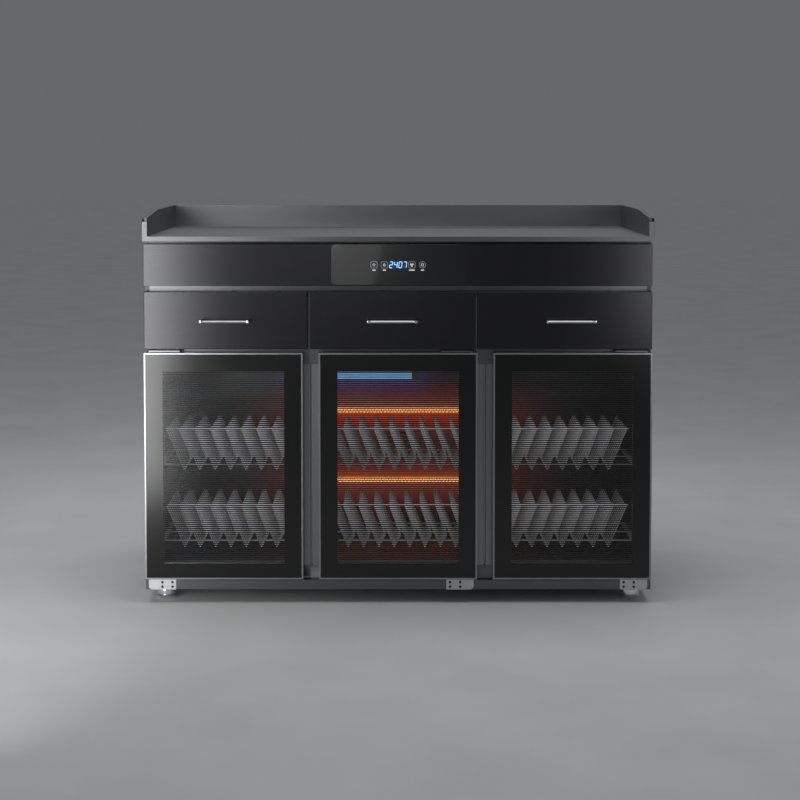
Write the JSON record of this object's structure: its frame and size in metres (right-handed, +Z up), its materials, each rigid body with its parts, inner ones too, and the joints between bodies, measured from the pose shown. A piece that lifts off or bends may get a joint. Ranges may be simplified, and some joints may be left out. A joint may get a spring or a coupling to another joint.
{
  "type": "dish sterilizer cabinet",
  "caption": "Low steel cabinet with framed glass doors over a heated chamber with dish racks, drawers and a touch panel above, and a worktop with low upstands.",
  "frame": {"origin": "on the floor, under the middle of the whole object", "axes": "+Z up, the doors and drawers face -Y, +X to the right as seen from the front"},
  "size_m": [1.2, 0.544, 0.927],
  "materials": {
    "black_steel": "black titanium brushed steel, satin",
    "grey_steel": "brushed grey steel",
    "edge_steel": "pale brushed door frame",
    "liner_steel": "fine brushed stainless",
    "galvanised": "galvanised sheet",
    "chrome": "polished",
    "wire": "polished wire",
    "black_glass": "gloss black",
    "door_glass": "tinted, with fine horizontal stripes",
    "gasket": "matt",
    "board": "printed board",
    "box_plastic": "moulded",
    "quartz": "glowing quartz",
    "lamp_glass": "glowing violet blue",
    "ceramic": "glazed",
    "motor": "painted",
    "nylon": "moulded nylon"
  },
  "bodies": {
    "cabinet": {"worktop": "grey_steel", "left_side_panel": "black_steel", "right_side_panel": "black_steel", "back_panel": "galvanised", "cable_gland": "nylon", "base_pan": "galvanised", "foot_sockets": "galvanised", "bottom_rail": "grey_steel", "head_rail": "grey_steel", "drawer_rail": "grey_steel", "top_rail": "grey_steel", "side_stiles": "grey_steel", "mullion_left": "grey_steel", "mullion_right": "grey_steel", "drawer_bay_floor": "galvanised", "drawer_partitions": "galvanised", "electrics_shelf": "galvanised", "fascia_panel": "black_steel", "control_glass": "black_glass", "control_board": "board", "control_box": "box_plastic", "runner_channels": "galvanised", "top_hinge_brackets": "chrome", "bottom_hinge_brackets": "chrome", "chamber_liner": "liner_steel", "heater_tubes": "quartz", "uv_lamp": "lamp_glass", "tube_holders": "ceramic", "fan_motor": "motor", "rack_supports": "wire", "dish_racks_left": "wire", "dish_racks_centre": "wire", "dish_racks_right": "wire"},
    "fan_wheel": {"fan_impeller": "galvanised"},
    "door_left": {"door_frame_left": "edge_steel", "door_pane_left": "door_glass", "door_gasket_left": "gasket"},
    "door_centre": {"door_frame_centre": "edge_steel", "door_pane_centre": "door_glass", "door_gasket_centre": "gasket"},
    "door_right": {"door_frame_right": "edge_steel", "door_pane_right": "door_glass", "door_gasket_right": "gasket"},
    "drawer_left": {"drawer_front_left": "black_steel", "drawer_box_left": "liner_steel", "drawer_handle_left": "chrome", "drawer_runners_left": "galvanised"},
    "drawer_centre": {"drawer_front_centre": "black_steel", "drawer_box_centre": "liner_steel", "drawer_handle_centre": "chrome", "drawer_runners_centre": "galvanised"},
    "drawer_right": {"drawer_front_right": "black_steel", "drawer_box_right": "liner_steel", "drawer_handle_right": "chrome", "drawer_runners_right": "galvanised"},
    "foot_front_left": {"foot_front_left": "chrome"},
    "foot_front_right": {"foot_front_right": "chrome"},
    "foot_rear_left": {"foot_rear_left": "chrome"},
    "foot_rear_right": {"foot_rear_right": "chrome"}
  },
  "joints": [
    {"name": "fan_spin", "type": "hinge", "parent": "cabinet", "child": "fan_wheel", "pos_m": [0, 0.213, 0.3], "axis": [0, 1, 0], "continuous": true},
    {"name": "door_left_hinge", "type": "hinge", "parent": "cabinet", "child": "door_left", "pos_m": [-0.584, -0.232, 0.326], "axis": [0, 0, -1], "range_deg": [0, 105]},
    {"name": "door_centre_hinge", "type": "hinge", "parent": "cabinet", "child": "door_centre", "pos_m": [0.173, -0.232, 0.326], "axis": [0, 0, 1], "range_deg": [0, 105]},
    {"name": "door_right_hinge", "type": "hinge", "parent": "cabinet", "child": "door_right", "pos_m": [0.584, -0.232, 0.326], "axis": [0, 0, 1], "range_deg": [0, 105]},
    {"name": "drawer_left_slide", "type": "slide", "parent": "cabinet", "child": "drawer_left", "axis": [0, -1, 0], "range_m": [0, 0.3]},
    {"name": "drawer_centre_slide", "type": "slide", "parent": "cabinet", "child": "drawer_centre", "axis": [0, -1, 0], "range_m": [0, 0.3]},
    {"name": "drawer_right_slide", "type": "slide", "parent": "cabinet", "child": "drawer_right", "axis": [0, -1, 0], "range_m": [0, 0.3]},
    {"name": "foot_front_left_turn", "type": "hinge", "parent": "cabinet", "child": "foot_front_left", "pos_m": [-0.556, -0.18, 0.015], "axis": [0, 0, 1], "continuous": true},
    {"name": "foot_front_right_turn", "type": "hinge", "parent": "cabinet", "child": "foot_front_right", "pos_m": [0.556, -0.18, 0.015], "axis": [0, 0, 1], "continuous": true},
    {"name": "foot_rear_left_turn", "type": "hinge", "parent": "cabinet", "child": "foot_rear_left", "pos_m": [-0.556, 0.196, 0.015], "axis": [0, 0, 1], "continuous": true},
    {"name": "foot_rear_right_turn", "type": "hinge", "parent": "cabinet", "child": "foot_rear_right", "pos_m": [0.556, 0.196, 0.015], "axis": [0, 0, 1], "continuous": true}
  ]
}
